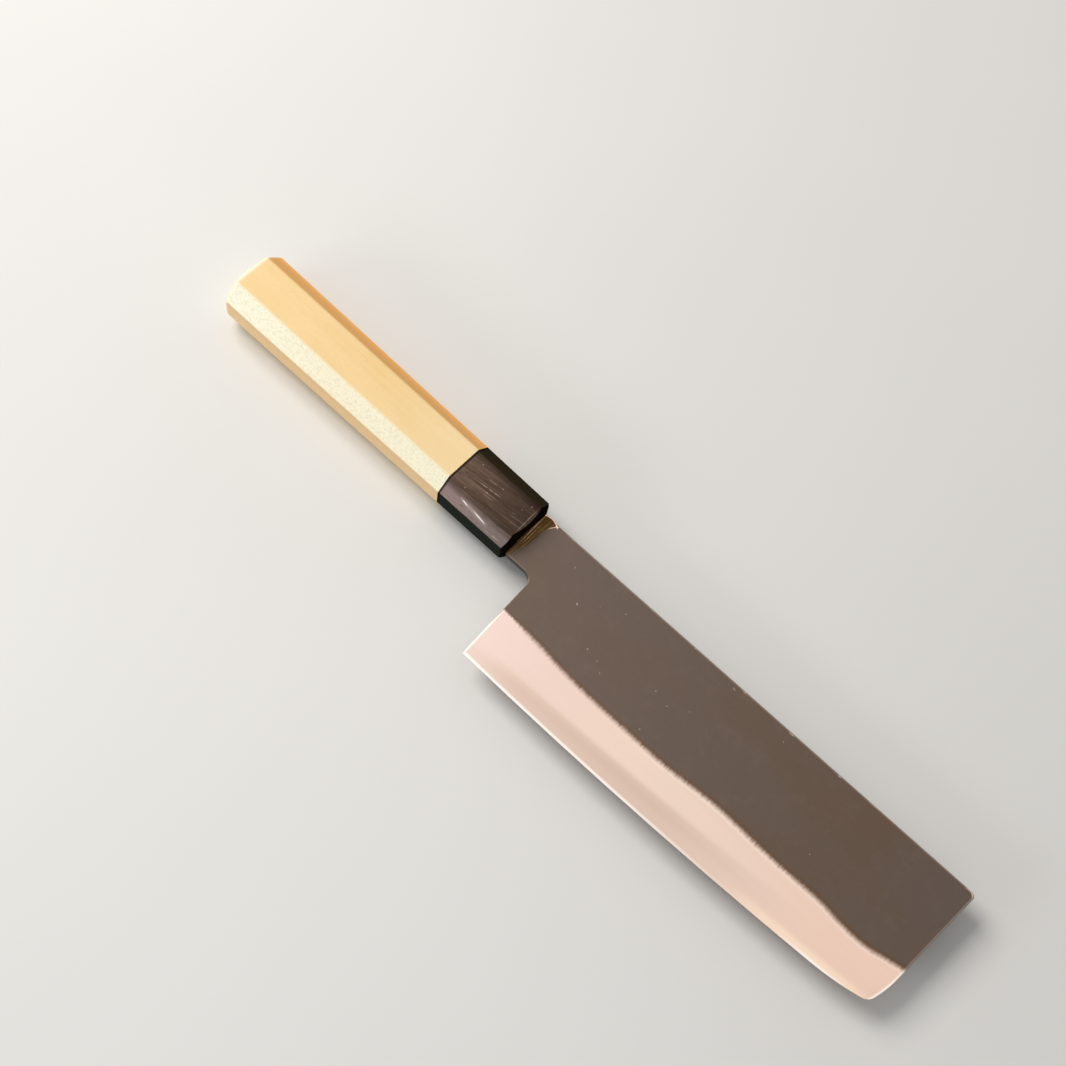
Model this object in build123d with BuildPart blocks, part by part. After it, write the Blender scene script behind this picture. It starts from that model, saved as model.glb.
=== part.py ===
from build123d import *
from math import degrees, radians, tan
import os

# Nakiri knife: a three-layer forged blade with a stick tang, glued into an octagonal wooden
# handle through a dark ferrule and a hidden dowel. Millimetres.
# The knife lies on its side: +X runs along the handle to the tip, +Y to the spine, +Z up
# from the face that shows. Places along the knife are counted from the ferrule's front face,
# and heights from the handle's centre line.

# Handle, butt to ferrule front, with a domed butt
handle_length = 133.1
butt_height = 26.1
butt_thickness = 19.9
butt_corner = 6.0
butt_dome_radius = 50.0
front_height = 23.4
front_thickness = 17.4
front_corner = 4.9
butt_round = 1.4
arris_ease = 0.35

# Ferrule
ferrule_length = 30.0
ferrule_wall = 6.0
ferrule_dome_radius = 25.0
ferrule_flat_radius = 8.6

# Dowel between ferrule and grip
dowel_diameter = 14.0
dowel_length = 46.0
dowel_clearance = 0.05
dowel_end_gap = 0.3
dowel_chamfer = 0.6

# Bore for the tang behind the dowel, and the resin round the tang
tang_bore_diameter = 9.0
bedding_wall = 0.35
bedding_end = 3.0

# Blade outline, from the shoulder round to the heel
spine_height = 8.85
spine_rise = 2.15
blade_reach = 181.9
spine_corner_radius = 1.6
front_lean = 2.05
front_turn_rise = 19.5
tip_setback = 4.5
tip_radius = 4.0
heel_drop = 45.0
heel_back = 12.4
heel_back_lean = 1.65
belly_rise = 4.05
belly_sag = 1.37
sweep_length = 20.2
sweep_rise = 3.45
neck_drop = 10.6
choil_radius = 4.0

# Blade thickness, right and left faces alike
spine_thickness = 3.2
spine_tip_thickness = 2.6
bevel_thickness = 2.9
bevel_height = 19.4
bevel_rise = 1.9
edge_thickness = 0.62
edge_land = 0.08
edge_angle = 15.0
edge_grind_reach = 3.2
edge_grind_turn_share = 0.55
edge_grind_exit = 10.0
core_thickness = 1.1
spine_ease = 0.35

# Neck and tang
shoulder_gap = 0.2
neck_thickness = 5.1
neck_lower_thickness = 3.6
neck_run = 7.0
neck_dip = 0.2
neck_lower_dip = 0.85
crown_length = 4.9
crown_rise = 0.35
tang_length = 100.0
tang_height = 10.0
tang_thickness = 4.0
tang_end_height = 5.6
tang_end_thickness = 2.4
tang_end_round = 1.2

overrun = 2.0

os.makedirs("parts", exist_ok=True)


def handle_size(x):
    """Height, thickness and corner cut of the octagon at x, which taper in straight lines."""
    share = -x / handle_length
    return (
        front_height + (butt_height - front_height) * share,
        front_thickness + (butt_thickness - front_thickness) * share,
        front_corner + (butt_corner - front_corner) * share,
    )


# Where the knife stands in its frame: the middle of its box, with the lowest point at zero.
# The handle is widest where the rounding of the butt's rim runs out into the facets.
butt_dome_x = butt_dome_radius - handle_length
rim_reach = butt_dome_radius - butt_round
widest_x = butt_dome_x - (rim_reach**2 - (butt_thickness / 2 - butt_round) ** 2) ** 0.5
widest_height, widest_thickness, widest_corner = handle_size(widest_x)
lowest_half = widest_thickness / 2
top_y = max(widest_height / 2, spine_height + spine_rise)
front_x = handle_length - (handle_length + blade_reach) / 2
axis_y = (heel_drop - top_y) / 2
mid_plane = Plane(origin=(front_x, axis_y, lowest_half))


def station(x):
    """Cross-section plane at x, with its own X to the spine and its own Y up."""
    return Plane(origin=mid_plane.from_local_coords((x, 0, 0)), x_dir=(0, 1, 0), z_dir=(1, 0, 0))


def height_on(plane, x, y):
    """Height over the blade's middle at which a plane stands above a place of the knife."""
    origin, normal = mid_plane.to_local_coords(plane.origin), plane.z_dir
    return origin.Z - (normal.X * (x - origin.X) + normal.Y * (y - origin.Y)) / normal.Z


def plane_through(a, b, c):
    """Plane through three points of the knife, facing away from the blade's middle."""
    a, b, c = (Vector(*mid_plane.from_local_coords(p)) for p in (a, b, c))
    normal = (b - a).cross(c - a).normalized()
    return Plane(origin=a, z_dir=normal if normal.Z > 0 else -normal)


# Handle: ferrule and grip are one tapered octagon, cut at the joint


def octagon(x):
    """Section of the handle at x: a rectangle with its corners cut at 45 degrees."""
    height, thickness, corner = handle_size(x)
    with BuildSketch(station(x)) as section:
        Rectangle(height, thickness)
        chamfer(section.vertices(), length=corner)
    return section.sketch


def facets():
    """Planes of the handle's eight facets, facing out, each on a side of the butt's octagon."""
    planes = []
    front_corners = octagon(0).vertices()
    for side in octagon(-handle_length).edges():
        run = front_corners.sort_by_distance(side.center())[0].center() - side @ 0
        normal = run.cross(side % 0)
        outward = side.center() - station(-handle_length).origin
        planes.append(Plane(origin=side @ 0, z_dir=normal if normal.dot(outward) > 0 else -normal))
    return planes


joint_x = -ferrule_length
dowel_front_x = -ferrule_wall
dowel_back_x = dowel_front_x - dowel_length
bore_bottom_x = dowel_back_x - dowel_end_gap
tang_bore_x = -tang_length - bedding_end
dowel_bore_radius = dowel_diameter / 2 + dowel_clearance
slot_height = tang_height + 2 * bedding_wall
slot_thickness = tang_thickness + 2 * bedding_wall
dome_x = -((ferrule_dome_radius**2 - ferrule_flat_radius**2) ** 0.5)

with BuildPart() as handle_grip:
    with Locations(station(butt_dome_x)):
        Sphere(butt_dome_radius)
    with BuildSketch(station(butt_dome_x)):
        Circle(butt_dome_radius)
    extrude(amount=handle_length - ferrule_length)
    split(bisect_by=station(joint_x), keep=Keep.BOTTOM)
    for facet in facets():
        split(bisect_by=facet, keep=Keep.BOTTOM)
    butt = handle_grip.faces().sort_by(Axis.X)[0]
    joint = handle_grip.faces().sort_by(Axis.X)[-1]
    ends = butt.edges() + joint.edges()
    chamfer(handle_grip.edges().filter_by(lambda edge: edge not in ends), length=arris_ease)
    fillet(handle_grip.faces().sort_by(Axis.X)[0].edges(), radius=butt_round)
    with BuildSketch(station(joint_x)):
        Circle(dowel_bore_radius)
    extrude(amount=bore_bottom_x - joint_x, mode=Mode.SUBTRACT)
    with BuildSketch(station(bore_bottom_x)):
        Circle(tang_bore_diameter / 2)
    extrude(amount=tang_bore_x - bore_bottom_x, mode=Mode.SUBTRACT)

with BuildPart() as ferrule:
    with BuildSketch(station(joint_x)):
        Rectangle(butt_height + overrun, butt_thickness + overrun)
    extrude(amount=ferrule_length)
    for facet in facets():
        split(bisect_by=facet, keep=Keep.BOTTOM)
    front = ferrule.faces().sort_by(Axis.X)[-1]
    joint = ferrule.faces().sort_by(Axis.X)[0]
    ends = front.edges() + joint.edges()
    chamfer(ferrule.edges().filter_by(lambda edge: edge not in ends), length=arris_ease)
    with Locations(station(dome_x)):
        Sphere(ferrule_dome_radius, mode=Mode.INTERSECT)
    with BuildSketch(station(joint_x)):
        Circle(dowel_bore_radius)
    extrude(amount=dowel_front_x - joint_x, mode=Mode.SUBTRACT)
    with BuildSketch(station(dowel_front_x)):
        Rectangle(slot_height, slot_thickness)
    extrude(amount=ferrule_wall, mode=Mode.SUBTRACT)

with BuildPart() as handle_dowel:
    with BuildSketch(station(dowel_front_x)):
        Circle(dowel_diameter / 2)
    extrude(amount=-dowel_length)
    chamfer(handle_dowel.edges(), length=dowel_chamfer)
    with BuildSketch(station(dowel_front_x)):
        Rectangle(slot_height, slot_thickness)
    extrude(amount=-dowel_length, mode=Mode.SUBTRACT)

# Blade: the right half is ground by planes from a plate of the outline, and the left half
# mirrors it. The layers are then cut from it level with the blade's middle.

heel = Vector(heel_back + heel_back_lean, -heel_drop)
spine_tip = Vector(blade_reach, spine_height + spine_rise)
front_turn = Vector(blade_reach - front_lean, front_turn_rise - heel_drop)
tip_corner = Vector(blade_reach - tip_setback, belly_rise + sweep_rise - heel_drop)
belly_end = tip_corner - Vector(sweep_length, sweep_rise)
belly_middle = (heel + belly_end) / 2 - Vector(0, belly_sag)
choil_corner = Vector(heel_back, -neck_drop)
shoulder_foot = Vector(shoulder_gap, -neck_drop)
shoulder_top = Vector(shoulder_gap, spine_height)
spine_run = (spine_tip - shoulder_top).normalized()
crown_front = shoulder_top + spine_run * crown_length
crown_top = shoulder_top + spine_run * crown_length / 2 + Vector(0, crown_rise)

core_top = mid_plane.offset(core_thickness / 2)
flat_face = plane_through(
    (0, spine_height, spine_thickness / 2),
    (spine_tip.X, spine_tip.Y, spine_tip_thickness / 2),
    (heel.X, heel.Y + bevel_height, bevel_thickness / 2),
)
bevel_end_y = heel.Y + bevel_height + bevel_rise
bevel_face = plane_through(
    (heel.X, heel.Y + bevel_height, bevel_thickness / 2),
    (tip_corner.X, bevel_end_y, height_on(flat_face, tip_corner.X, bevel_end_y)),
    (heel.X, heel.Y, edge_thickness / 2),
)


def half_section(x, top, bottom, top_thickness, bottom_thickness):
    """Right half of a section of the neck or tang at x, from the blade's middle outwards."""
    with BuildSketch(station(x)) as section:
        with BuildLine():
            Polyline(
                (bottom, 0),
                (top, 0),
                (top, top_thickness / 2),
                (bottom, bottom_thickness / 2),
                close=True,
            )
        make_face()
    return section.sketch


def tang_section(x, height, thickness):
    """Half section of the tang at x, even in thickness."""
    return half_section(x, height / 2, -height / 2, thickness, thickness)


with BuildSketch(mid_plane) as outline:
    with BuildLine():
        Line(shoulder_foot, shoulder_top)
        ThreePointArc(shoulder_top, crown_top, crown_front)
        Line(crown_front, spine_tip)
        front_edge = Line(spine_tip, front_turn)
        TangentArc(front_turn, tip_corner, tangent=front_edge % 1)
        belly = ThreePointArc(heel, belly_middle, belly_end)
        sweep_up = TangentArc(belly_end, tip_corner, tangent=belly % 1)
        Line(heel, choil_corner)
        Line(choil_corner, shoulder_foot)
    make_face()
    fillet(outline.vertices().sort_by_distance(spine_tip)[0], radius=spine_corner_radius)
    fillet(outline.vertices().sort_by_distance(tip_corner)[0], radius=tip_radius)
    fillet(outline.vertices().sort_by_distance(choil_corner)[0], radius=choil_radius)

tip_start, tip_end = outline.vertices().sort_by_distance(tip_corner)[:2].sort_by(Axis.Y)
tip_turn = degrees(outline.edges().sort_by_distance(tip_corner)[0].length / tip_radius)

# The edge is ground by a wedge that is carried along it, in from the heel and out at the tip
with BuildLine() as grind_path:
    Line(heel - (belly % 0) * overrun, heel)
    ThreePointArc(heel, belly_middle, belly_end)
    rise = TangentArc(belly_end, tip_start, tangent=belly % 1)
    turn = JernArc(tip_start, rise % 1, tip_radius, tip_turn * edge_grind_turn_share)
    Line(turn @ 1, turn @ 1 + (turn % 1) * edge_grind_exit)

grind_edge = grind_path.line.moved(mid_plane.location)
grind_run = grind_edge % 0
grind_start = Plane(origin=grind_edge @ 0, x_dir=Vector(0, 0, 1).cross(grind_run), z_dir=grind_run)
grind_slope = tan(radians(edge_angle))
grind_low = edge_land / 2 - overrun * grind_slope
grind_high = edge_land / 2 + edge_grind_reach * grind_slope

# The neck thins forwards until it dips under the flats, sooner at its lower side
neck_top = spine_height + crown_rise + overrun
neck_end = 2 * (height_on(flat_face, neck_run, neck_top) - neck_dip)
neck_lower_end = 2 * (height_on(flat_face, neck_run, -neck_drop) - neck_lower_dip)

with BuildPart() as half_neck:
    add(half_section(shoulder_gap, neck_top, -neck_drop, neck_thickness, neck_lower_thickness))
    add(half_section(neck_run, neck_top, -neck_drop, neck_end, neck_lower_end))
    loft()
    add(outline.sketch)
    extrude(amount=neck_thickness, mode=Mode.INTERSECT)

with BuildPart() as half_blade:
    add(outline.sketch)
    extrude(amount=spine_thickness)
    split(bisect_by=flat_face, keep=Keep.BOTTOM)
    add(half_neck.part)
    walls = half_blade.faces().filter_by(lambda face: round(face.normal_at().Z) == 0).sort_by(Axis.X)
    rim = walls[1:].edges().filter_by(lambda edge: edge.center().Z > core_top.origin.Z)
    chamfer(rim.filter_by(Axis.Z, reverse=True), length=spine_ease)
    split(bisect_by=bevel_face, keep=Keep.BOTTOM)
    with BuildSketch(grind_start):
        with BuildLine():
            Polyline(
                (-overrun, grind_low),
                (edge_grind_reach, grind_high),
                (-overrun, spine_thickness),
                close=True,
            )
        make_face()
    sweep(path=grind_edge, mode=Mode.SUBTRACT)
    add(tang_section(shoulder_gap, tang_height, tang_thickness))
    add(tang_section(-tang_length, tang_end_height, tang_end_thickness))
    loft()
    fillet(half_blade.edges().filter_by(Axis.Z).sort_by(Axis.X)[:2], radius=tang_end_round)

with BuildPart() as core_steel:
    add(half_blade.part)
    split(bisect_by=core_top, keep=Keep.BOTTOM)
    mirror(about=mid_plane)

with BuildPart() as cladding_right:
    add(half_blade.part)
    split(bisect_by=core_top, keep=Keep.TOP)

with BuildPart() as cladding_left:
    mirror(cladding_right.part, about=mid_plane)

with BuildPart() as tang_bedding:
    with BuildSketch(station(0)):
        Rectangle(slot_height, slot_thickness)
    extrude(amount=dowel_back_x)
    with BuildSketch(station(dowel_back_x)):
        Circle(tang_bore_diameter / 2)
    extrude(amount=tang_bore_x - dowel_back_x)
    for layer in (core_steel, cladding_right, cladding_left):
        add(layer.part, mode=Mode.SUBTRACT)

pieces = {
    "handle_grip": handle_grip,
    "ferrule": ferrule,
    "handle_dowel": handle_dowel,
    "tang_bedding": tang_bedding,
    "core_steel": core_steel,
    "cladding_right": cladding_right,
    "cladding_left": cladding_left,
}
for name, piece in pieces.items():
    piece.part.label = name
    export_step(piece.part, f"parts/{name}.step")
    print(name, "volume", round(piece.part.volume, 1), "solids", len(piece.solids()))
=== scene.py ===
import math

import bpy
from mathutils import Matrix, Vector


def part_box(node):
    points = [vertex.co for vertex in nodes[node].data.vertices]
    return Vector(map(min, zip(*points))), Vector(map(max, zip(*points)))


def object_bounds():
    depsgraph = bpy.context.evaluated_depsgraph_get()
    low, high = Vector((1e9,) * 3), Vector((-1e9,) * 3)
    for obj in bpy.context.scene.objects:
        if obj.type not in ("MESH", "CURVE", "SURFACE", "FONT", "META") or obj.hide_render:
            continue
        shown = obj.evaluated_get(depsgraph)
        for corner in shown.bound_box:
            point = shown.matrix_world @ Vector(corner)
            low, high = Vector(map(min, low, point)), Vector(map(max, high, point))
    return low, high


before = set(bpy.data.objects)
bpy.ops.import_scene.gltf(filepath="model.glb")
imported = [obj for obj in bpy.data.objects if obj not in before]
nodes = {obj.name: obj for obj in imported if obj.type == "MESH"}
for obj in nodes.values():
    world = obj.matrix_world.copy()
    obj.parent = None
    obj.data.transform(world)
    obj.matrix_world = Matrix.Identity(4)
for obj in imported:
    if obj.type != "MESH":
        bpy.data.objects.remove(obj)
cad_low, cad_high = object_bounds()

# The knife lies on its side: X runs to the tip, Y to the spine, Z up. Metres.
MM = 0.001
FERRULE_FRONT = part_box("ferrule")[1].x
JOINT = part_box("handle_grip")[1].x
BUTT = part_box("handle_grip")[0].x
AXIS_Y = (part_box("ferrule")[0].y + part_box("ferrule")[1].y) / 2
AXIS_Z = (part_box("ferrule")[0].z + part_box("ferrule")[1].z) / 2
TIP = cad_high.x
EDGE = cad_low.y

# Directions that surfaces face
UP = (0, 0, 1)
TO_TIP = (1, 0, 0)
TO_BUTT = (-1, 0, 0)
TO_SPINE = (0, 1, 0)
TO_EDGE = (0, -1, 0)
UP_AND_TO_SPINE = (0, 1, 1)
UP_AND_TO_EDGE = (0, -1, 1)
TO_EDGE_AND_CHOIL = (-0.3, -1, 0)


# Shader nodes


class Finish:
    """A material that is built up node by node and ends in one principled shader."""

    def __init__(self, name):
        self.material = bpy.data.materials.new(name)
        self.material.use_nodes = True
        self.tree = self.material.node_tree
        self.tree.nodes.clear()
        self.place = self.node("TexCoord").outputs["Object"]
        self.grain = self.place

    def node(self, kind, **settings):
        """Adds a node of a kind, with its settings."""
        made = self.tree.nodes.new("ShaderNode" + kind)
        for name, value in settings.items():
            setattr(made, name, value)
        return made

    def join(self, value, socket):
        """Gives a socket a value, or links another node's output to it."""
        if isinstance(value, bpy.types.NodeSocket):
            self.tree.links.new(value, socket)
        else:
            socket.default_value = value

    def math(self, operation, *values, clamp=False):
        """One math node on one to three values."""
        made = self.node("Math", operation=operation, use_clamp=clamp)
        for value, socket in zip(values, made.inputs):
            self.join(value, socket)
        return made.outputs[0]

    def times(self, *shares):
        """The product of shares."""
        whole = shares[0]
        for share in shares[1:]:
            whole = self.math("MULTIPLY", whole, share)
        return whole

    def larger(self, first, second):
        """The larger of two shares."""
        return self.math("MAXIMUM", first, second)

    def less(self, value, taken):
        """A value less another."""
        return self.math("SUBTRACT", value, taken)

    def vectors(self, operation, first, second):
        """The outputs of one vector-math node on two vectors: a Vector, or a Value for a number."""
        made = self.node("VectorMath", operation=operation)
        self.join(first, made.inputs[0])
        self.join(second, made.inputs[1])
        return made.outputs

    def axes(self, vector=None):
        """The x, y and z of the place, or of another vector."""
        split = self.node("SeparateXYZ")
        self.join(self.place if vector is None else vector, split.inputs[0])
        return split.outputs

    def normal(self):
        """The direction that the unbumped surface faces."""
        return self.node("TexCoord").outputs["Normal"]

    def facing(self, direction, start, end):
        """A step over the cosine of the angle between the unbumped surface's normal and a direction."""
        cosine = self.vectors("DOT_PRODUCT", self.normal(), Vector(direction).normalized())["Value"]
        return self.step(cosine, start, end)

    def stretched(self, x, y, z):
        """The place along the grain with each axis multiplied, in cycles per metre."""
        return self.vectors("MULTIPLY", self.grain, (x, y, z))["Vector"]

    def noise(self, vector, detail=3.0, roughness=0.55):
        """Noise from about 0.25 to 0.75 along a vector."""
        made = self.node("TexNoise")
        self.join(vector, made.inputs["Vector"])
        self.join(1.0, made.inputs["Scale"])
        self.join(detail, made.inputs["Detail"])
        self.join(roughness, made.inputs["Roughness"])
        return made.outputs["Fac"]

    def spots(self, vector, reach):
        """Round spots at random places of a grid of cells: 1 at a spot's middle, 0 from its reach on."""
        cells = self.node("TexVoronoi")
        self.join(vector, cells.inputs["Vector"])
        self.join(1.0, cells.inputs["Scale"])
        return self.step(cells.outputs["Distance"], reach, 0.0)

    def tilt(self, degrees):
        """Turns the grain from the handle's axis, as in a piece cut a little across its fibres."""
        turned = self.node("VectorRotate", rotation_type="Z_AXIS")
        self.join(self.place, turned.inputs["Vector"])
        self.join(math.radians(-degrees), turned.inputs["Angle"])
        self.grain = turned.outputs[0]

    def stroke(self, start, end, half_width):
        """1 on a line between two places seen from above, in millimetres off the ferrule's front."""
        first, last = Vector((*start, 0.0)), Vector((*end, 0.0))
        length = (last - first).length * MM
        ahead = (last - first).normalized()
        aside = Vector((-ahead.y, ahead.x, 0.0))
        origin = Vector((FERRULE_FRONT, AXIS_Y, 0.0)) + first * MM
        off_start = self.vectors("SUBTRACT", self.place, origin)["Vector"]
        off_middle = self.less(self.vectors("DOT_PRODUCT", off_start, ahead)["Value"], length / 2)
        off_line = self.vectors("DOT_PRODUCT", off_start, aside)["Value"]
        inside = self.step(self.math("ABSOLUTE", off_middle), length / 2, length * 0.1)
        reach = half_width * MM
        beside = self.step(self.math("ABSOLUTE", off_line), reach, 0.2 * reach)
        return self.times(inside, beside)

    def marks(self, rows):
        """Marks as one share, worn marks or painted highlights: each row is a line's two ends, half width
        and strength.
        """
        share = 0.0
        for start, end, half_width, strength in rows:
            share = self.larger(share, self.times(self.stroke(start, end, half_width), strength))
        broken = self.step(self.noise(self.stretched(900, 1800, 1800)), 0.3, 0.55)
        upper_side = self.step(self.less(self.axes()[2], AXIS_Z), 0.0, 0.5 * MM)
        return self.times(share, broken, upper_side)

    def step(self, value, start, end):
        """0 where the value is at start, 1 where it is at end, and smooth between them."""
        made = self.node("MapRange", interpolation_type="SMOOTHSTEP")
        self.join(value, made.inputs["Value"])
        self.join(start, made.inputs["From Min"])
        self.join(end, made.inputs["From Max"])
        return made.outputs["Result"]

    def blend(self, share, low, high):
        """The low colour where the share is 0, and the high one where it is 1."""
        made = self.node("Mix", data_type="RGBA")
        self.join(share, made.inputs["Factor"])
        self.join(colour(low), made.inputs["A"])
        self.join(colour(high), made.inputs["B"])
        return made.outputs["Result"]

    def lay(self, base, paint, *shares):
        """Lays a colour over the base by the product of shares."""
        return self.blend(self.times(*shares), base, paint)

    def number(self, share, low, high):
        """The low number where the share is 0, and the high one where it is 1."""
        made = self.node("Mix", data_type="FLOAT")
        self.join(share, made.inputs["Factor"])
        self.join(low, made.inputs["A"])
        self.join(high, made.inputs["B"])
        return made.outputs["Result"]

    def bump(self, height, depth):
        """Normals of a relief whose height of 1 is this depth in metres."""
        made = self.node("Bump")
        self.join(height, made.inputs["Height"])
        self.join(depth, made.inputs["Distance"])
        return made.outputs["Normal"]

    def shade(self, base, roughness, metallic=0.0, normal=None, **others):
        """The principled shader at the end."""
        shader = self.node("BsdfPrincipled")
        self.join(base, shader.inputs["Base Color"])
        self.join(roughness, shader.inputs["Roughness"])
        self.join(metallic, shader.inputs["Metallic"])
        if normal is not None:
            self.join(normal, shader.inputs["Normal"])
        for name, value in others.items():
            self.join(value, shader.inputs[name.replace("_", " ")])
        out = self.node("OutputMaterial")
        self.join(shader.outputs[0], out.inputs["Surface"])
        return self.material


def colour(value):
    """A colour of three numbers gets its alpha; a socket stays as it is."""
    return value if isinstance(value, bpy.types.NodeSocket) else (*value, 1.0)


# Wood


PALE = {
    "ground": (0.83, 0.575, 0.255),
    "clouds": (0.86, 0.62, 0.30),
    "grain": (0.74, 0.46, 0.17),
    "fibres": (0.92, 0.72, 0.42),
    "flecks": (0.66, 0.40, 0.15),
    "front": (0.89, 0.71, 0.42),
    "painted_sheen": (0.87, 0.88, 0.72),
    "shade_amber": (0.70, 0.285, 0.006),
    "shade_orange": (0.86, 0.365, 0.030),
    "shaded_edge_side": (0.83, 0.52, 0.24),
    "shade_under_arris": (0.62, 0.33, 0.12),
    "silver": (0.64, 0.55, 0.38),
    "butt": (0.90, 0.84, 0.62),
}
DARK = {
    "ground": (0.085, 0.052, 0.036),
    "clouds": (0.155, 0.10, 0.073),
    "front": (0.046, 0.027, 0.019),
    "streaks": (0.22, 0.145, 0.11),
    "fibres": (0.10, 0.064, 0.047),
    "veins": (0.030, 0.018, 0.012),
    "shade_near_spine": (0.018, 0.012, 0.009),
    "painted_highlight": (0.31, 0.22, 0.215),
    "front_painted_highlight": (0.22, 0.17, 0.16),
    "shaded_spine_side": (0.026, 0.019, 0.010),
    "shaded_edge_side": (0.016, 0.021, 0.017),
    "chamfer": (0.005, 0.004, 0.003),
    "pores": (0.012, 0.009, 0.007),
    "glints": (0.40, 0.31, 0.25),
    "scuffs": (0.80, 0.60, 0.47),
    "marks": (0.90, 0.82, 0.79),
    "shaded_seam": (0.008, 0.006, 0.005),
}
# Painted highlights on the ferrule: the lamp's thin reflections, with a faint glow round them: two ends,
# half width and strength
FERRULE_HIGHLIGHTS = (
    ((-22.9, -8.85), (-18.2, -9.45), 0.24, 1.0),
    ((-17.5, -9.15), (-9.6, -9.85), 0.26, 1.0),
    ((-23.5, -8.8), (-8.0, -10.2), 0.75, 0.16),
)
# Tan scuffs and specks on it
FERRULE_SCUFFS = (
    ((-10.8, -10.95), (-2.6, -10.5), 0.18, 0.4),
    ((-25.5, 4.0), (-24.8, 4.15), 0.24, 0.4),
    ((-23.9, -6.1), (-23.2, -5.95), 0.22, 0.45),
    ((-17.7, -2.45), (-16.8, -2.2), 0.26, 0.5),
    ((-14.8, 2.4), (-14.1, 2.55), 0.24, 0.5),
    ((-3.7, 4.6), (-3.1, 4.75), 0.22, 0.45),
    ((-5.3, 1.5), (-4.6, 1.6), 0.22, 0.25),
    ((-22.9, -1.4), (-11.5, -0.1), 0.3, 0.3),
    ((-21.0, 1.6), (-14.5, 2.3), 0.25, 0.25),
    ((-19.5, -3.6), (-13.0, -2.9), 0.22, 0.18),
    ((-1.45, 6.9), (-0.95, -7.6), 0.16, 0.36),
)
# How far the ferrule's grain is turned from the handle's axis, in degrees
FERRULE_GRAIN_TILT = 6.4


def pale_wood():
    """Pale straight-grained hardwood, oiled: nearly even on top, with fine flecks where the rays are cut."""
    wood = Finish("pale_wood")
    x, _, z = wood.axes()
    over_axis = wood.less(z, AXIS_Z)
    cloud = wood.noise(wood.stretched(26, 90, 90), detail=2)
    fibre = wood.noise(wood.stretched(110, 2600, 2600), detail=4, roughness=0.65)
    grain = wood.noise(wood.stretched(16, 620, 260))
    rays = wood.noise(wood.stretched(700, 2600, 1300), detail=2, roughness=0.6)
    flecks = wood.step(rays, 0.55, 0.68)
    base = wood.blend(wood.step(cloud, 0.3, 0.7), PALE["ground"], PALE["clouds"])
    base = wood.lay(base, PALE["grain"], wood.step(grain, 0.5, 0.68), 0.16)
    base = wood.lay(base, PALE["fibres"], wood.step(fibre, 0.4, 0.75), 0.18)
    base = wood.lay(base, PALE["flecks"], flecks, 0.16)
    base = wood.lay(base, PALE["front"], wood.step(x, JOINT - 45 * MM, JOINT), 0.5)

    # Painted sheen: the lamp's pale highlight on the facet towards the edge, whiter near the butt
    painted_sheen = wood.facing(UP_AND_TO_EDGE, 0.86, 0.98)
    white = wood.number(wood.step(x, BUTT + 50 * MM, BUTT + 8 * MM), 0.7, 0.85)
    base = wood.lay(base, PALE["painted_sheen"], painted_sheen, white)

    # Painted shade: the deeper colour of the facets towards the spine, which face away from the light
    shade_amber = wood.blend(wood.step(over_axis, 7.5 * MM, 4.5 * MM), PALE["shade_amber"], PALE["shade_orange"])
    strength = wood.number(wood.facing(TO_SPINE, 0.78, 0.95), 0.84, 0.6)
    shaded_spine_side = wood.times(wood.facing(TO_SPINE, 0.5, 0.68), strength)
    base = wood.lay(base, shade_amber, shaded_spine_side)

    # Painted shade: the side facet towards the edge is darker and pinker, and darker still in its upper part
    # under the arris
    shaded_edge_side = wood.facing(TO_EDGE, 0.86, 0.98)
    shade_under_arris = wood.times(shaded_edge_side, wood.step(over_axis, 1.8 * MM, 3.9 * MM))
    base = wood.lay(base, PALE["shaded_edge_side"], shaded_edge_side, 0.6)
    base = wood.lay(base, PALE["shade_under_arris"], shade_under_arris, 0.45)
    silver = wood.step(wood.noise(wood.stretched(900, 1500, 1500), roughness=0.75), 0.48, 0.64)
    base = wood.lay(base, PALE["silver"], silver, wood.number(painted_sheen, 0.1, 0.5))

    # Painted highlight: the butt's end face and the rim of its rounded edge are paler, least on the facets
    # towards the spine
    end = wood.times(wood.facing(TO_BUTT, 0.2, 0.6), 0.5)
    rim = wood.times(wood.step(x, BUTT + 3.4 * MM, BUTT + 1.5 * MM), wood.number(shaded_spine_side, 0.8, 0.1))
    base = wood.lay(base, PALE["butt"], wood.larger(end, rim))
    relief = wood.math("ADD", fibre, wood.times(flecks, -0.6))
    rough = wood.number(rays, 0.32, 0.42)
    return wood.shade(base, rough, normal=wood.bump(relief, 0.03 * MM), Specular_IOR_Level=0.4)


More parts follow.
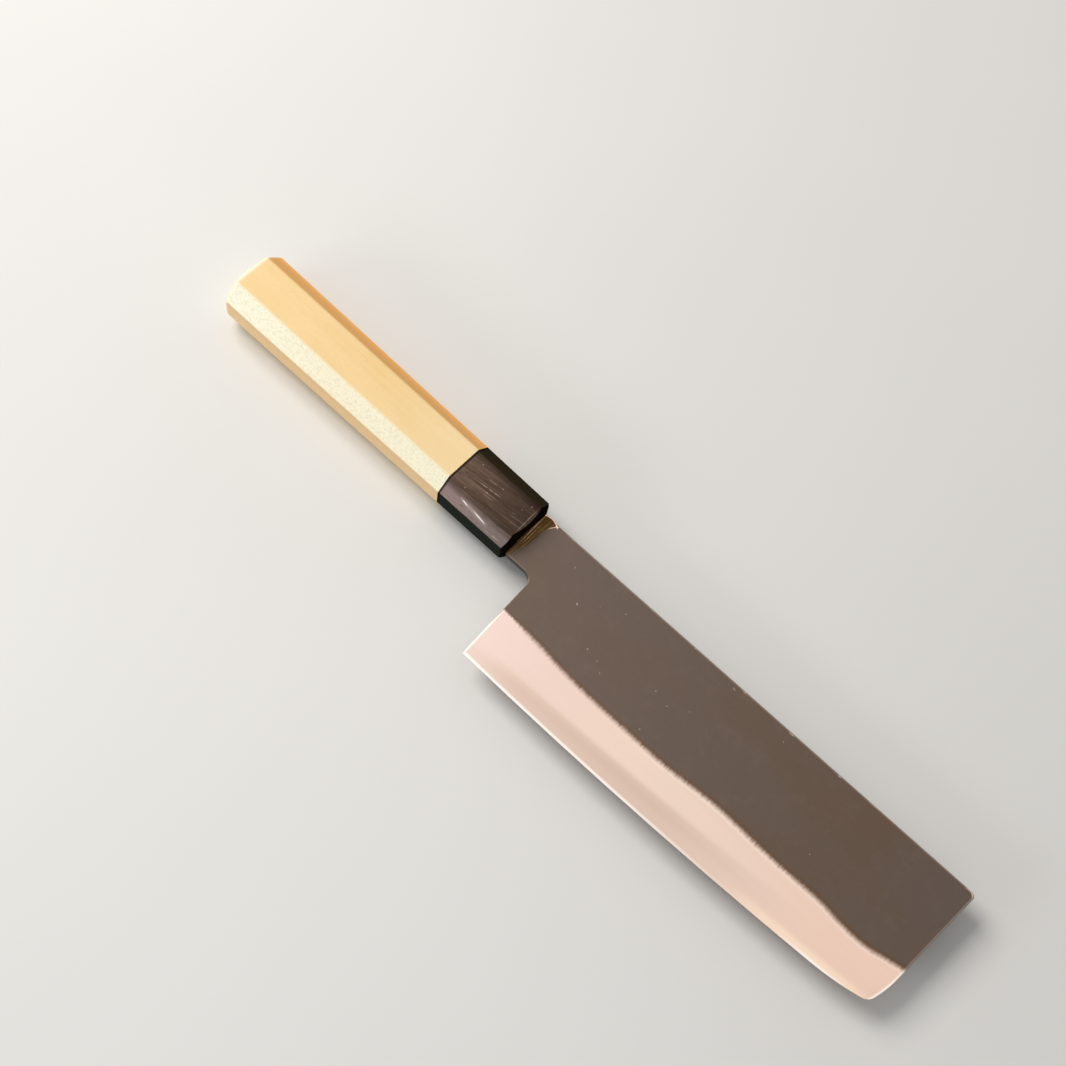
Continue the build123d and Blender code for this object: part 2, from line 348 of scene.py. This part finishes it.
def dark_wood():
    """Dense dark brown hardwood with lighter streaks along the grain, tan scuffs and specks, and open pores,
    with painted highlights and glints, and painted shade on the facets away from the light.
    """
    wood = Finish("dark_wood")
    wood.tilt(FERRULE_GRAIN_TILT)
    x, y, z = wood.axes()
    off_axis = wood.less(y, AXIS_Y)
    over_axis = wood.less(z, AXIS_Z)
    forward = wood.step(x, JOINT + 2 * MM, FERRULE_FRONT)
    fibre = wood.noise(wood.stretched(160, 3600, 3600), detail=4, roughness=0.7)
    streaks = wood.step(wood.noise(wood.stretched(60, 900, 900)), 0.52, 0.7)
    tone = wood.noise(wood.stretched(45, 240, 240), detail=2)
    pores = wood.step(wood.noise(wood.stretched(330, 2400, 2400), detail=2), 0.62, 0.7)
    veins = wood.step(wood.noise(wood.stretched(75, 1300, 1300), detail=4, roughness=0.7), 0.46, 0.6)
    glints = wood.spots(wood.stretched(170, 330, 330), 0.17)
    base = wood.blend(wood.step(tone, 0.3, 0.7), DARK["ground"], DARK["clouds"])
    base = wood.lay(base, DARK["front"], forward, 0.85)
    base = wood.lay(base, DARK["streaks"], streaks, 0.5)
    base = wood.lay(base, DARK["fibres"], wood.step(fibre, 0.45, 0.8), 0.3)
    base = wood.lay(base, DARK["veins"], veins, 0.45)
    # Painted shade: darker towards the arris on the spine side
    shade_near_spine = wood.step(off_axis, 3.4 * MM, 6.8 * MM)
    base = wood.lay(base, DARK["shade_near_spine"], shade_near_spine, 0.75)

    # Painted highlight: the facet towards the edge is lighter where it catches the light, most in its lower
    # part
    fall = wood.less(wood.times(off_axis, -1.0), over_axis)
    painted_highlight = wood.blend(forward, DARK["painted_highlight"], DARK["front_painted_highlight"])
    low_part = wood.step(fall, -1.0 * MM, 3.5 * MM)
    base = wood.lay(base, painted_highlight, wood.facing(UP_AND_TO_EDGE, 0.86, 0.98), low_part, 0.8)

    # Painted shade: the facets away from the light (the facet towards the spine, the sides, the underside
    # and the front chamfer) are near black and mirror nothing, and most of the strip near the spine mirrors
    # nothing either
    shaded = wood.larger(wood.facing(UP_AND_TO_SPINE, 0.8, 0.95), wood.facing(UP, 0.6, 0.4))
    painted_shade = wood.blend(wood.facing(TO_EDGE, 0.5, 0.8), DARK["shaded_spine_side"], DARK["shaded_edge_side"])
    painted_shade = wood.lay(painted_shade, DARK["chamfer"], wood.facing(TO_TIP, 0.25, 0.5))
    base = wood.lay(base, painted_shade, shaded, 0.95)
    specular = wood.number(wood.larger(shaded, wood.times(shade_near_spine, 0.75)), 0.06, 0.0)

    base = wood.lay(base, DARK["pores"], pores, 0.5)
    # Painted glints: small light spots on the facets facing up
    base = wood.lay(base, DARK["glints"], glints, wood.facing(UP, 0.8, 0.95), 0.3)
    base = wood.lay(base, DARK["scuffs"], wood.marks(FERRULE_SCUFFS))
    # Painted highlights: the lamp's thin reflections on the facet towards the edge
    base = wood.lay(base, DARK["marks"], wood.marks(FERRULE_HIGHLIGHTS))
    # Painted shade in the seam along the joint with the grip
    base = wood.lay(base, DARK["shaded_seam"], wood.step(wood.less(x, JOINT), 1.0 * MM, 0.7 * MM), 0.85)
    rough = wood.number(wood.step(fibre, 0.3, 0.75), 0.3, 0.42)
    normal = wood.bump(wood.less(fibre, pores), 0.02 * MM)
    return wood.shade(base, rough, normal=normal, Specular_IOR_Level=specular)


def dowel_wood():
    """Plain turned hardwood with fine lengthwise grain."""
    wood = Finish("dowel_wood")
    fibre = wood.noise(wood.stretched(60, 2600, 2600), detail=4)
    base = wood.blend(wood.step(fibre, 0.3, 0.75), (0.46, 0.28, 0.13), (0.66, 0.45, 0.24))
    return wood.shade(base, 0.6, normal=wood.bump(fibre, 0.04 * MM))


def bedding_resin():
    """Set amber resin with small blisters."""
    resin = Finish("bedding_resin")
    clouds = resin.noise(resin.stretched(700, 700, 700))
    blisters = resin.spots(resin.stretched(1100, 1100, 1100), 0.3)
    base = resin.blend(resin.step(clouds, 0.3, 0.7), (0.14, 0.085, 0.035), (0.27, 0.17, 0.075))
    return resin.shade(base, 0.4, normal=resin.bump(blisters, 0.05 * MM), Specular_IOR_Level=0.5)


# Steel


# Ground steel, on the cladding and on the core
CLADDING = {
    "heel": (0.755, 0.59, 0.535),
    "middle": (0.84, 0.655, 0.56),
    "tip": (0.85, 0.615, 0.505),
    "low": (0.675, 0.51, 0.425),
}
CORE = {
    "heel": (0.755, 0.59, 0.53),
    "middle": (0.83, 0.645, 0.55),
    "tip": (0.85, 0.615, 0.505),
    "low": (0.67, 0.50, 0.415),
}
# Painted highlight: a warm glow near the edge towards the tip
TIP_HIGHLIGHT = (1.0, 0.79, 0.60)
# Painted highlight: a bright line on the honed edge and on the rims at heel and front
HONED_HIGHLIGHT = (1.0, 0.93, 0.87)
LIP = (1.0, 0.86, 0.77)
CORE_SPINE = (0.22, 0.175, 0.15)
# Painted shade on the walls under the neck and in the choil's round
UNDER_NECK_SHADE = (0.02, 0.019, 0.018)
SCALE = {
    "rear": (0.119, 0.085, 0.066),
    "front": (0.113, 0.075, 0.051),
    "clouds": (0.118, 0.088, 0.078),
    "front_corner": (0.106, 0.082, 0.072),
    "grain": (0.15, 0.118, 0.10),
    "haze": (0.125, 0.060, 0.027),
    "mottle": (0.16, 0.115, 0.09),
    "specks": (0.52, 0.43, 0.37),
    "walls": (0.50, 0.38, 0.31),
    "spine_rim": (0.36, 0.27, 0.22),
    "crescent": (0.62, 0.43, 0.36),
    "front_rim": (0.24, 0.195, 0.17),
}
# The neck's cheek: its gold is a painted reflection of the ferrule, and the arc and the fold line are
# painted highlights
NECK = {
    "fold_painted_light": (0.077, 0.044, 0.016),
    "ferrule": (0.075, 0.039, 0.011),
    "strokes": (0.30, 0.165, 0.07),
    "lines": (0.74, 0.45, 0.30),
    "arc_highlight": (0.90, 0.66, 0.54),
}
# Heights in millimetres over the lowest edge at which the dark scale ends, at even steps from heel to tip
SCALE_LINE = (19.8, 19.4, 18.95, 18.15, 17.8, 17.7, 17.75, 17.8, 17.9, 18.4, 19.25, 19.85,
              19.8, 19.6, 19.6, 19.9, 20.0, 19.3, 19.3, 20.95, 22.7)
SCALE_LINE_TOP = 30.0
# How far the neck's polished cheek reaches in front of the ferrule, at even steps from choil to spine
NECK_LINE = (1.4, 2.6, 3.35, 3.55, 3.5, 4.4, 6.6)
NECK_LINE_TOP = 10.0
NECK_LOW = -8.0 * MM
NECK_HIGH = 9.0 * MM
# Bright file lines on that cheek: two ends, half width and strength
NECK_LINES = (
    ((0.35, 9.0), (0.9, -6.5), 0.16, 0.8),
    ((1.55, 6.0), (1.75, -5.0), 0.13, 0.4),
    ((2.45, 4.0), (2.4, -3.5), 0.12, 0.18),
)
# Light specks on the scale: two ends, half width and strength
SCALE_SPECKS = (
    ((28.45, -6.79), (29.15, -7.21), 0.3, 0.9),
    ((34.5, -2.28), (34.9, -2.52), 0.3, 0.6),
    ((41.95, 2.07), (42.85, 1.53), 0.3, 0.35),
    ((41.45, -15.75), (41.95, -16.05), 0.3, 0.9),
    ((46.35, -16.59), (47.05, -17.01), 0.3, 0.4),
    ((49.55, -18.83), (50.45, -19.37), 0.3, 0.6),
    ((66.55, -10.65), (67.05, -10.95), 0.3, 0.6),
    ((72.35, -11.85), (72.85, -12.15), 0.3, 0.5),
    ((78.6, -7.86), (79.4, -8.34), 0.3, 0.8),
    ((71.2, -23.62), (71.8, -23.98), 0.3, 0.5),
    ((30.35, 8.15), (30.85, 7.85), 0.3, 0.4),
    ((19.35, 2.11), (20.05, 1.69), 0.3, 0.35),
    ((65.8, 9.1), (67.2, 9.25), 0.3, 0.7),
    ((83.5, 8.12), (84.9, 7.28), 0.42, 0.35),
    ((86.5, 9.3), (88.4, 9.5), 0.4, 0.9),
    ((105.8, 9.35), (108.5, 9.6), 0.42, 1.0),
    ((106.6, 5.84), (107.4, 5.36), 0.3, 0.3),
    ((126.2, 9.75), (128.0, 9.9), 0.4, 0.75),
    ((135.8, -15.92), (136.4, -16.28), 0.3, 0.35),
)
HEEL = FERRULE_FRONT + 14.05 * MM
HEEL_LEAN = -0.048
# The belly's run from the heel. At a share of it, the edge's height is share * (share * CURVE - DIP).
BELLY_RUN = 143.15 * MM
BELLY_CURVE = 5.5 * MM
BELLY_DIP = 1.45 * MM
# At the height of its knee the front edge lies this far behind the tip. It leans, and bends back below.
FRONT_KNEE = 19.6 * MM
FRONT_SETBACK = 2.05 * MM
FRONT_LEAN = -0.0562
FRONT_BEND = -12.4
# The spine's height over the handle's axis at the ferrule, and its slope
SPINE_HEIGHT = 8.85 * MM
SPINE_SLOPE = 2.15 / 181.9
# Middles of the rounds that bound the bright corner at the front and the painted highlight arc at the neck
CRESCENT_MIDDLE = (FERRULE_FRONT + 179.2 * MM, AXIS_Y + 8.3 * MM, 0.0)
NECK_ARC_MIDDLE = (FERRULE_FRONT + 2.8 * MM, AXIS_Y + 3.9 * MM, 0.0)
NECK_ARC_RADIUS = 5.1 * MM


class Blade(Finish):
    """A finish on the blade, with the places that its marks are measured from."""

    def __init__(self, name):
        super().__init__(name)
        self.x, self.y, _ = self.axes()
        self.over_lowest = self.less(self.y, EDGE)
        self.along = self.math("DIVIDE", self.less(self.x, HEEL), BELLY_RUN)
        rise = self.math("MULTIPLY_ADD", self.along, BELLY_CURVE, -BELLY_DIP)
        self.over_edge = self.less(self.over_lowest, self.times(rise, self.along))

    def way(self, start, end):
        """A step along the blade, between two shares of the belly's run from the heel."""
        return self.step(self.along, start, end)

    def from_above(self):
        """The place as seen from above."""
        return self.stretched(1.0, 1.0, 0.0)

    def over_bevel(self):
        """0 within the bevel, 1 above it."""
        return self.step(self.over_lowest, 15 * MM, 22 * MM)

    def shaded_walls_under_neck(self):
        """Most of 1 on the walls under the neck and in the choil's round, which get painted shade."""
        return self.times(self.facing(TO_EDGE_AND_CHOIL, 0.5, 0.8), self.over_bevel(), 0.85)

    def rear_rim(self, width):
        """1 at the heel's rear edge, 0 from a width in front of it on."""
        rear = self.math("MULTIPLY_ADD", self.over_lowest, HEEL_LEAN, HEEL)
        return self.step(self.less(self.x, rear), width, 0.4 * width)

    def front_rim(self, width):
        """1 at the front edge, 0 from a width behind it on: a straight line that bends back to the tip."""
        below = self.less(FRONT_KNEE, self.over_lowest)
        square = self.math("POWER", self.larger(below, 0.0), 2.0)
        front = self.math("MULTIPLY_ADD", below, FRONT_LEAN, TIP - FRONT_SETBACK)
        front = self.math("MULTIPLY_ADD", square, FRONT_BEND, front)
        return self.step(self.less(front, self.x), width, 0.4 * width)

    def ground(self, tones):
        """Ground steel from heel to tip, with a darker band low down, and painted highlights: a glow towards
        the tip, and bright lines on the honed edge and on the rims at heel and front.
        """
        lines = self.noise(self.stretched(45, 5200, 400))
        cloud = self.noise(self.stretched(14, 120, 60), detail=2)
        base = self.blend(self.way(0.0, 0.5), tones["heel"], tones["middle"])
        base = self.lay(base, tones["tip"], self.way(0.55, 1.1))
        base = self.lay(base, tones["low"], self.step(lines, 0.45, 0.75), 0.16)
        base = self.lay(base, tones["low"], self.step(cloud, 0.4, 0.7), 0.12)

        off_band = self.math("MULTIPLY_ADD", self.along, -4.0 * MM, self.over_edge)
        band = self.step(off_band, 7.6 * MM, 5.2 * MM)
        weaker = self.number(self.step(off_band, 3.8 * MM, 0.6 * MM), 1.0, 0.74)
        base = self.lay(base, tones["low"], band, weaker, self.way(0.0, 0.16), self.way(1.0, 0.45))

        # Painted highlight: a warm glow near the edge towards the tip
        tip_highlight = self.step(self.over_edge, 3.9 * MM, 1.7 * MM)
        base = self.lay(base, TIP_HIGHLIGHT, tip_highlight, self.way(0.72, 0.9), self.way(1.17, 1.09), 0.6)
        # Painted highlight: the honed edge, and the rims at heel and front, as bright lines
        honed_highlight = self.step(self.over_edge, 1.3 * MM, 0.6 * MM)
        honed_highlight = self.times(honed_highlight, self.larger(self.way(0.9, 0.4), self.way(0.88, 1.0)))
        rim_highlights = self.larger(self.rear_rim(0.85 * MM), self.front_rim(0.8 * MM))
        base = self.lay(base, HONED_HIGHLIGHT, self.larger(honed_highlight, rim_highlights), 0.8)
        return base, lines

    def curve(self, value, start, end, top, numbers):
        """Follows listed millimetres, from 0 to top, at even steps of a value from start to end."""
        share = self.node("MapRange")
        self.join(value, share.inputs["Value"])
        self.join(start, share.inputs["From Min"])
        self.join(end, share.inputs["From Max"])
        line = self.node("FloatCurve")
        self.join(share.outputs["Result"], line.inputs["Value"])
        points = line.mapping.curves[0].points
        last = len(numbers) - 1
        points[0].location = (0.0, numbers[0] / top)
        points[-1].location = (1.0, numbers[last] / top)
        for count in range(1, last):
            points.new(count / last, numbers[count] / top)
        line.mapping.update()
        return self.times(line.outputs[0], top * MM)


def over_border(steel):
    """How far a place lies over the ragged border between polished bevel and dark scale."""
    limit = steel.curve(steel.x, HEEL, TIP, SCALE_LINE_TOP, SCALE_LINE)
    ragged = steel.noise(steel.stretched(1500, 330, 0), detail=4, roughness=0.65)
    fray = steel.number(steel.way(0.7, 1.1), 1.9 * MM, 1.2 * MM)
    above = steel.less(steel.over_lowest, limit)
    above = steel.math("MULTIPLY_ADD", steel.less(ragged, 0.5), fray, above)
    return steel.times(above, steel.number(steel.way(0.0, 0.08), 2.0, 1.0))


def forge_scale(steel, grain, above):
    """The dark scale's own colour, with brown tarnish along its border and light specks."""
    tone = steel.noise(steel.stretched(22, 40, 30), detail=2)
    mottle = steel.noise(steel.stretched(130, 130, 0), detail=4, roughness=0.7)
    front_corner = steel.times(steel.way(0.98, 1.15), steel.step(steel.over_lowest, 24 * MM, 44 * MM))
    haze = steel.step(above, 2.3 * MM, 0.5 * MM)
    dark = steel.blend(steel.way(0.15, 1.2), SCALE["rear"], SCALE["front"])
    dark = steel.lay(dark, SCALE["clouds"], steel.step(tone, 0.4, 0.62), 0.5)
    dark = steel.lay(dark, SCALE["front_corner"], front_corner, 0.6)
    dark = steel.lay(dark, SCALE["grain"], steel.step(grain, 0.5, 0.8), 0.18)
    dark = steel.lay(dark, SCALE["haze"], haze, steel.number(steel.along, 0.5, 0.75))
    dark = steel.lay(dark, SCALE["mottle"], steel.step(mottle, 0.5, 0.7), 0.2)
    return steel.lay(dark, SCALE["specks"], steel.marks(SCALE_SPECKS))


def worn_rims(steel, flat, dark):
    """Wears the scale off at the walls, along the spine and the front, and at the front corner, and paints
    shade on the walls under the neck.
    """
    chips = steel.step(steel.noise(steel.stretched(150, 700, 0), detail=2), 0.6, 0.7)
    walls = steel.step(flat, 0.93, 0.75)
    dark = steel.lay(dark, SCALE["walls"], walls, steel.math("ADD", 0.4, chips, clamp=True))
    # Painted shade: near black on the walls under the neck and in the choil's round
    dark = steel.lay(dark, UNDER_NECK_SHADE, steel.shaded_walls_under_neck())

    off_ferrule = steel.less(steel.x, FERRULE_FRONT)
    spine = steel.math("MULTIPLY_ADD", off_ferrule, SPINE_SLOPE, AXIS_Y + SPINE_HEIGHT)
    rim = steel.step(steel.less(spine, steel.y), 0.75 * MM, 0.4 * MM)
    chipped = steel.math("MULTIPLY_ADD", chips, 0.5, 0.45)
    dark = steel.lay(dark, SCALE["spine_rim"], rim, steel.step(off_ferrule, 6 * MM, 14 * MM), chipped)

    off_middle = steel.vectors("DISTANCE", steel.from_above(), CRESCENT_MIDDLE)["Value"]
    crescent = steel.times(
        steel.step(off_middle, 2.05 * MM, 2.35 * MM),
        steel.step(steel.x, TIP - 4.4 * MM, TIP - 2.6 * MM),
        steel.step(steel.over_lowest, 51.5 * MM, 53.2 * MM),
    )
    dark = steel.lay(dark, SCALE["crescent"], crescent, 0.85)
    return steel.lay(dark, SCALE["front_rim"], steel.front_rim(0.8 * MM), 0.8)


def polished_neck(steel, flat, strokes, dark):
    """Lays the neck's polished cheek over the scale, its gold a painted reflection of the ferrule with
    painted highlights on its arc and fold, and returns the cheek's share too.
    """
    across = steel.less(steel.y, AXIS_Y)
    reach = steel.curve(across, NECK_LOW, NECK_HIGH, NECK_LINE_TOP, NECK_LINE)
    before = steel.less(steel.less(steel.x, FERRULE_FRONT), reach)
    broad = steel.step(flat, 0.2, 0.5)
    cheek = steel.times(steel.step(before, 0.8 * MM, -0.6 * MM), broad)
    # Painted reflection: the cheek's gold mirrors the ferrule
    ferrule_reflection = steel.blend(steel.step(before, -0.3 * MM, -3.0 * MM), NECK["fold_painted_light"], NECK["ferrule"])
    ferrule_reflection = steel.lay(ferrule_reflection, NECK["strokes"], steel.step(strokes, 0.52, 0.66), 0.6)
    dark = steel.lay(dark, ferrule_reflection, cheek)
    dark = steel.lay(dark, NECK["lines"], steel.marks(NECK_LINES))

    # Painted highlights: a bright arc on the corner of the spine, and a bright line along the cheek's fold
    off_middle = steel.vectors("DISTANCE", steel.from_above(), NECK_ARC_MIDDLE)["Value"]
    off_arc = steel.math("ABSOLUTE", steel.less(off_middle, NECK_ARC_RADIUS))
    arc_highlight = steel.times(steel.step(off_arc, 0.3 * MM, 0.1 * MM), steel.step(across, 7.5 * MM, 8.2 * MM))
    fold_painted_light = steel.step(steel.math("ABSOLUTE", before), 0.24 * MM, 0.1 * MM)
    fold_painted_light = steel.times(fold_painted_light, steel.step(across, 5.0 * MM, 6.8 * MM), 0.6)
    return steel.lay(dark, NECK["arc_highlight"], steel.larger(arc_highlight, fold_painted_light), broad), cheek


def cladding_steel():
    """Soft steel cladding: dark forge scale, ended by a worn haze over the ground bevel and the neck."""
    steel = Blade("cladding_steel")
    flat = steel.math("ABSOLUTE", steel.axes(steel.normal())[2])
    grain = steel.noise(steel.stretched(900, 900, 900), detail=4)
    strokes = steel.noise(steel.stretched(2600, 120, 0), roughness=0.6)
    above = over_border(steel)
    dark = forge_scale(steel, grain, above)
    dark = worn_rims(steel, flat, dark)
    dark, cheek = polished_neck(steel, flat, strokes, dark)

    bright, lines = steel.ground(CLADDING)
    lip = steel.step(above, -1.7 * MM, -1.2 * MM)
    bright = steel.lay(bright, LIP, lip, steel.way(0.3, 0.6), 0.3)
    scale = steel.math("POWER", steel.step(above, -1.2 * MM, 1.0 * MM), 0.7)
    base = steel.blend(scale, bright, dark)
    rough = steel.number(scale, 0.30, 0.52)
    relief = steel.number(scale, steel.times(lines, 0.25), steel.number(cheek, grain, strokes))
    scaled = steel.times(scale, steel.less(1.0, cheek))
    metallic = steel.number(scaled, 1.0, 0.85)
    return steel.shade(base, rough, metallic, steel.bump(relief, 0.012 * MM))


def core_steel():
    """Hard core steel: fine lines along the honed edge, dark in its cut face at the spine, and painted shade
    on its walls at the choil.
    """
    steel = Blade("core_steel")
    bright, lines = steel.ground(CORE)
    over_bevel = steel.over_bevel()
    base = steel.blend(over_bevel, bright, CORE_SPINE)
    # Painted shade: near black on the walls under the neck and in the choil's round
    base = steel.lay(base, UNDER_NECK_SHADE, steel.shaded_walls_under_neck())
    rough = steel.number(over_bevel, 0.28, 0.45)
    return steel.shade(base, rough, 1.0, steel.bump(lines, 0.004 * MM))


FINISHES = {
    "handle_grip": pale_wood(),
    "ferrule": dark_wood(),
    "handle_dowel": dowel_wood(),
    "tang_bedding": bedding_resin(),
    "core_steel": core_steel(),
}
FINISHES["cladding_right"] = FINISHES["cladding_left"] = cladding_steel()

for name, finish in FINISHES.items():
    for slot in nodes[name].material_slots:
        slot.material = finish


# Floor and light


ROOM_COLOUR = (1.0, 0.985, 0.96)
ROOM_WHITE = 0.95
ROOM_LIGHT = 0.40
FLOOR_HALF_WIDTH = 30.0
# Distances from the knife between which the floor turns into the room's white
FLOOR_FADE_START = 0.28
FLOOR_FADE_END = 1.0
CAMERA_PLACE = Vector((96.95, -180.46, 529.21)) * MM
CAMERA_RIGHT = Vector((0.72332, 0.68417, 0.09339))
CAMERA_UP = Vector((-0.65735, 0.64085, 0.39648))
FOCAL_LENGTH_PX = 1721
PICTURE_PX = 1066
SENSOR_WIDTH_MM = 36.0


def looked_at(tree):
    """1 for what the camera, polished steel or glass looks at, 0 for light that falls on things."""
    path = tree.nodes.new("ShaderNodeLightPath")
    share = path.outputs["Is Camera Ray"]
    for name in ("Is Glossy Ray", "Is Transmission Ray"):
        either = tree.nodes.new("ShaderNodeMath")
        either.operation = "MAXIMUM"
        tree.links.new(share, either.inputs[0])
        tree.links.new(path.outputs[name], either.inputs[1])
        share = either.outputs[0]
    return share


def far_away(card):
    """Lets the floor run out into the room's white, well away from the knife and its shadow."""
    out = next(node for node in card.tree.nodes if node.type == "OUTPUT_MATERIAL")
    near = out.inputs["Surface"].links[0].from_socket
    distance = card.vectors("DISTANCE", card.place, (0.0, 0.0, 0.0))["Value"]
    far = card.step(distance, FLOOR_FADE_START, FLOOR_FADE_END)
    white = card.node("Emission")
    card.join(colour(ROOM_COLOUR), white.inputs["Color"])
    card.join(ROOM_WHITE, white.inputs["Strength"])
    mixed = card.node("MixShader")
    card.join(card.times(far, looked_at(card.tree)), mixed.inputs[0])
    card.join(near, mixed.inputs[1])
    card.join(white.outputs[0], mixed.inputs[2])
    card.join(mixed.outputs[0], out.inputs["Surface"])


def pale_floor():
    """A wide pale floor of faintly uneven matt card."""
    card = Finish("floor_card")
    cloud = card.noise(card.stretched(3, 3, 3))
    base = card.blend(card.step(cloud, 0.3, 0.7), (0.74, 0.735, 0.725), (0.77, 0.765, 0.755))
    card.shade(base, 0.9, Specular_IOR_Level=0.1)
    far_away(card)
    half = FLOOR_HALF_WIDTH
    corners = [(-half, -half, 0), (half, -half, 0), (half, half, 0), (-half, half, 0)]
    mesh = bpy.data.meshes.new("floor")
    mesh.from_pydata(corners, [], [(0, 1, 2, 3)])
    floor = bpy.data.objects.new("floor", mesh)
    floor.data.materials.append(card.material)
    bpy.context.scene.collection.objects.link(floor)


def soft_room():
    """An even pale room: dimmer as light, and white where the camera or polished steel looks at it."""
    world = bpy.data.worlds.new("room")
    world.use_nodes = True
    tree = world.node_tree
    light = tree.nodes["Background"]
    light.inputs["Color"].default_value = colour(ROOM_COLOUR)
    strength = tree.nodes.new("ShaderNodeMix")
    strength.inputs["A"].default_value = ROOM_LIGHT
    strength.inputs["B"].default_value = ROOM_WHITE
    tree.links.new(looked_at(tree), strength.inputs["Factor"])
    tree.links.new(strength.outputs["Result"], light.inputs["Strength"])
    bpy.context.scene.world = world


def softbox(name, place, size, light, tint, aim=(0, 0, 0)):
    """A lamp with a lit rectangle of a width and height, which gives this much light where it is aimed."""
    lamp = bpy.data.lights.new(name, "AREA")
    lamp.shape = "RECTANGLE"
    lamp.size, lamp.size_y = size
    lamp.energy = light * math.pi**2 * (Vector(place) - Vector(aim)).length_squared
    lamp.color = tint
    box = bpy.data.objects.new(name, lamp)
    box.location = place
    box.rotation_euler = (Vector(aim) - Vector(place)).to_track_quat("-Z", "Y").to_euler()
    bpy.context.scene.collection.objects.link(box)


def photo_camera():
    """The camera, in the knife's frame: its place, and which way the picture's right and up point."""
    camera = bpy.data.objects.new("camera", bpy.data.cameras.new("camera"))
    camera.data.sensor_width = SENSOR_WIDTH_MM
    camera.data.lens = SENSOR_WIDTH_MM * FOCAL_LENGTH_PX / PICTURE_PX
    camera.data.clip_start = 0.01
    right = CAMERA_RIGHT.normalized()
    back = right.cross(CAMERA_UP).normalized()
    up = back.cross(right)
    turn = Matrix((right, up, back)).transposed().to_4x4()
    camera.matrix_world = Matrix.Translation(CAMERA_PLACE) @ turn
    bpy.context.scene.collection.objects.link(camera)
    bpy.context.scene.camera = camera


pale_floor()
soft_room()
softbox("key_light", place=(-0.85, 0.0, 0.95), size=(0.7, 0.7), light=0.76, tint=(1.0, 0.97, 0.92))
softbox(
    "low_window",
    place=(-0.41, -0.87, 0.345),
    size=(0.6, 0.16),
    light=0.24,
    tint=(0.90, 0.97, 1.0),
    aim=(-0.09, 0.016, AXIS_Z),
)
photo_camera()
bpy.context.scene.view_settings.view_transform = "Standard"
